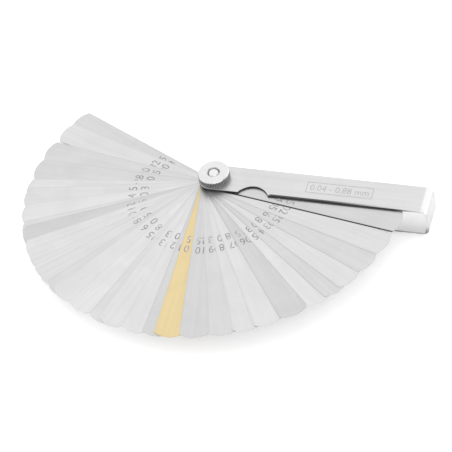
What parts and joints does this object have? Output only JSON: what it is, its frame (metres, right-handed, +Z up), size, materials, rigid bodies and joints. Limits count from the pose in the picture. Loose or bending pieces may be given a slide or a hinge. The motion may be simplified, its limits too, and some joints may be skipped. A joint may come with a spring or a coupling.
{
  "type": "feeler gauge",
  "caption": "Pocket feeler gauge: thickness blades, one of them brass, fan out on a pivot post from a bent steel case locked by a knurled nut.",
  "frame": {"origin": "pivot axis at the case's underside", "axes": "+X along the case to its closed end, +Z up along the pivot, the blades open towards -Y"},
  "size_m": [0.189, 0.1331, 0.0183],
  "materials": {
    "case_steel": "bright rolled steel, satin",
    "post_steel": "turned",
    "nut_plating": "bright nickel plate",
    "blade_steel": "polished spring steel",
    "brass_blade": "rolled brass"
  },
  "bodies": {
    "case": {"case": "case_steel", "pivot_post": "post_steel"},
    "knurled_nut": {"knurled_nut": "nut_plating"},
    "blade_0_04mm": {"blade_0_04mm": "blade_steel"},
    "blade_0_05mm": {"blade_0_05mm": "blade_steel"},
    "blade_0_06mm": {"blade_0_06mm": "blade_steel"},
    "blade_0_08mm": {"blade_0_08mm": "blade_steel"},
    "blade_0_10mm": {"blade_0_10mm": "blade_steel"},
    "blade_0_13mm": {"blade_0_13mm": "blade_steel"},
    "blade_0_15mm": {"blade_0_15mm": "blade_steel"},
    "blade_0_18mm": {"blade_0_18mm": "blade_steel"},
    "blade_0_20mm": {"blade_0_20mm": "blade_steel"},
    "blade_0_23mm": {"blade_0_23mm": "blade_steel"},
    "blade_0_25mm": {"blade_0_25mm": "blade_steel"},
    "blade_0_25mm_brass": {"blade_0_25mm_brass": "brass_blade"},
    "blade_0_28mm": {"blade_0_28mm": "blade_steel"},
    "blade_0_30mm": {"blade_0_30mm": "blade_steel"},
    "blade_0_33mm": {"blade_0_33mm": "blade_steel"},
    "blade_0_35mm": {"blade_0_35mm": "blade_steel"},
    "blade_0_38mm": {"blade_0_38mm": "blade_steel"},
    "blade_0_40mm": {"blade_0_40mm": "blade_steel"},
    "blade_0_43mm": {"blade_0_43mm": "blade_steel"},
    "blade_0_45mm": {"blade_0_45mm": "blade_steel"},
    "blade_0_48mm": {"blade_0_48mm": "blade_steel"},
    "blade_0_50mm": {"blade_0_50mm": "blade_steel"},
    "blade_0_53mm": {"blade_0_53mm": "blade_steel"},
    "blade_0_55mm": {"blade_0_55mm": "blade_steel"},
    "blade_0_58mm": {"blade_0_58mm": "blade_steel"},
    "blade_0_60mm": {"blade_0_60mm": "blade_steel"},
    "blade_0_63mm": {"blade_0_63mm": "blade_steel"},
    "blade_0_65mm": {"blade_0_65mm": "blade_steel"},
    "blade_0_70mm": {"blade_0_70mm": "blade_steel"},
    "blade_0_75mm": {"blade_0_75mm": "blade_steel"},
    "blade_0_80mm": {"blade_0_80mm": "blade_steel"},
    "blade_0_88mm": {"blade_0_88mm": "blade_steel"}
  },
  "joints": [
    {"name": "knurled_nut_turn", "type": "hinge", "parent": "case", "child": "knurled_nut", "pos_m": [0, 0, 0.01662], "axis": [0, 0, 1], "range_deg": [0, 360]},
    {"name": "blade_0_04mm_swing", "type": "hinge", "parent": "case", "child": "blade_0_04mm", "pos_m": [0, 0, 0.0075], "axis": [0, 0, 1], "range_deg": [-351.2, 8.8]},
    {"name": "blade_0_05mm_swing", "type": "hinge", "parent": "case", "child": "blade_0_05mm", "pos_m": [0, 0, 0.0075], "axis": [0, 0, 1], "range_deg": [-342.2, 17.8]},
    {"name": "blade_0_06mm_swing", "type": "hinge", "parent": "case", "child": "blade_0_06mm", "pos_m": [0, 0, 0.0075], "axis": [0, 0, 1], "range_deg": [-334.4, 25.6]},
    {"name": "blade_0_08mm_swing", "type": "hinge", "parent": "case", "child": "blade_0_08mm", "pos_m": [0, 0, 0.0075], "axis": [0, 0, 1], "range_deg": [-327, 33]},
    {"name": "blade_0_10mm_swing", "type": "hinge", "parent": "case", "child": "blade_0_10mm", "pos_m": [0, 0, 0.0075], "axis": [0, 0, 1], "range_deg": [-322, 38]},
    {"name": "blade_0_13mm_swing", "type": "hinge", "parent": "case", "child": "blade_0_13mm", "pos_m": [0, 0, 0.0075], "axis": [0, 0, 1], "range_deg": [-316.6, 43.4]},
    {"name": "blade_0_15mm_swing", "type": "hinge", "parent": "case", "child": "blade_0_15mm", "pos_m": [0, 0, 0.0075], "axis": [0, 0, 1], "range_deg": [-308.2, 51.8]},
    {"name": "blade_0_18mm_swing", "type": "hinge", "parent": "case", "child": "blade_0_18mm", "pos_m": [0, 0, 0.0075], "axis": [0, 0, 1], "range_deg": [-300.8, 59.2]},
    {"name": "blade_0_20mm_swing", "type": "hinge", "parent": "case", "child": "blade_0_20mm", "pos_m": [0, 0, 0.0075], "axis": [0, 0, 1], "range_deg": [-294.8, 65.2]},
    {"name": "blade_0_23mm_swing", "type": "hinge", "parent": "case", "child": "blade_0_23mm", "pos_m": [0, 0, 0.0075], "axis": [0, 0, 1], "range_deg": [-288.2, 71.8]},
    {"name": "blade_0_25mm_swing", "type": "hinge", "parent": "case", "child": "blade_0_25mm", "pos_m": [0, 0, 0.0075], "axis": [0, 0, 1], "range_deg": [-279.8, 80.2]},
    {"name": "blade_0_25mm_brass_swing", "type": "hinge", "parent": "case", "child": "blade_0_25mm_brass", "pos_m": [0, 0, 0.0075], "axis": [0, 0, 1], "range_deg": [-272.5, 87.5]},
    {"name": "blade_0_28mm_swing", "type": "hinge", "parent": "case", "child": "blade_0_28mm", "pos_m": [0, 0, 0.0075], "axis": [0, 0, 1], "range_deg": [-269.1, 90.9]},
    {"name": "blade_0_30mm_swing", "type": "hinge", "parent": "case", "child": "blade_0_30mm", "pos_m": [0, 0, 0.0075], "axis": [0, 0, 1], "range_deg": [-262.5, 97.5]},
    {"name": "blade_0_33mm_swing", "type": "hinge", "parent": "case", "child": "blade_0_33mm", "pos_m": [0, 0, 0.0075], "axis": [0, 0, 1], "range_deg": [-254.8, 105.2]},
    {"name": "blade_0_35mm_swing", "type": "hinge", "parent": "case", "child": "blade_0_35mm", "pos_m": [0, 0, 0.0075], "axis": [0, 0, 1], "range_deg": [-251.5, 108.5]},
    {"name": "blade_0_38mm_swing", "type": "hinge", "parent": "case", "child": "blade_0_38mm", "pos_m": [0, 0, 0.0075], "axis": [0, 0, 1], "range_deg": [-243.4, 116.6]},
    {"name": "blade_0_40mm_swing", "type": "hinge", "parent": "case", "child": "blade_0_40mm", "pos_m": [0, 0, 0.0075], "axis": [0, 0, 1], "range_deg": [-235.4, 124.6]},
    {"name": "blade_0_43mm_swing", "type": "hinge", "parent": "case", "child": "blade_0_43mm", "pos_m": [0, 0, 0.0075], "axis": [0, 0, 1], "range_deg": [-232.3, 127.7]},
    {"name": "blade_0_45mm_swing", "type": "hinge", "parent": "case", "child": "blade_0_45mm", "pos_m": [0, 0, 0.0075], "axis": [0, 0, 1], "range_deg": [-226.2, 133.8]},
    {"name": "blade_0_48mm_swing", "type": "hinge", "parent": "case", "child": "blade_0_48mm", "pos_m": [0, 0, 0.0075], "axis": [0, 0, 1], "range_deg": [-222.6, 137.4]},
    {"name": "blade_0_50mm_swing", "type": "hinge", "parent": "case", "child": "blade_0_50mm", "pos_m": [0, 0, 0.0075], "axis": [0, 0, 1], "range_deg": [-217.5, 142.5]},
    {"name": "blade_0_53mm_swing", "type": "hinge", "parent": "case", "child": "blade_0_53mm", "pos_m": [0, 0, 0.0075], "axis": [0, 0, 1], "range_deg": [-213.2, 146.8]},
    {"name": "blade_0_55mm_swing", "type": "hinge", "parent": "case", "child": "blade_0_55mm", "pos_m": [0, 0, 0.0075], "axis": [0, 0, 1], "range_deg": [-207.4, 152.6]},
    {"name": "blade_0_58mm_swing", "type": "hinge", "parent": "case", "child": "blade_0_58mm", "pos_m": [0, 0, 0.0075], "axis": [0, 0, 1], "range_deg": [-205, 155]},
    {"name": "blade_0_60mm_swing", "type": "hinge", "parent": "case", "child": "blade_0_60mm", "pos_m": [0, 0, 0.0075], "axis": [0, 0, 1], "range_deg": [-198.1, 161.9]},
    {"name": "blade_0_63mm_swing", "type": "hinge", "parent": "case", "child": "blade_0_63mm", "pos_m": [0, 0, 0.0075], "axis": [0, 0, 1], "range_deg": [-190.9, 169.1]},
    {"name": "blade_0_65mm_swing", "type": "hinge", "parent": "case", "child": "blade_0_65mm", "pos_m": [0, 0, 0.0075], "axis": [0, 0, 1], "range_deg": [-186.8, 173.2]},
    {"name": "blade_0_70mm_swing", "type": "hinge", "parent": "case", "child": "blade_0_70mm", "pos_m": [0, 0, 0.0075], "axis": [0, 0, 1], "range_deg": [-178.3, 181.7]},
    {"name": "blade_0_75mm_swing", "type": "hinge", "parent": "case", "child": "blade_0_75mm", "pos_m": [0, 0, 0.0075], "axis": [0, 0, 1], "range_deg": [-170.2, 189.8]},
    {"name": "blade_0_80mm_swing", "type": "hinge", "parent": "case", "child": "blade_0_80mm", "pos_m": [0, 0, 0.0075], "axis": [0, 0, 1], "range_deg": [-160.8, 199.2]},
    {"name": "blade_0_88mm_swing", "type": "hinge", "parent": "case", "child": "blade_0_88mm", "pos_m": [0, 0, 0.0075], "axis": [0, 0, 1], "range_deg": [-154.8, 205.2]}
  ]
}
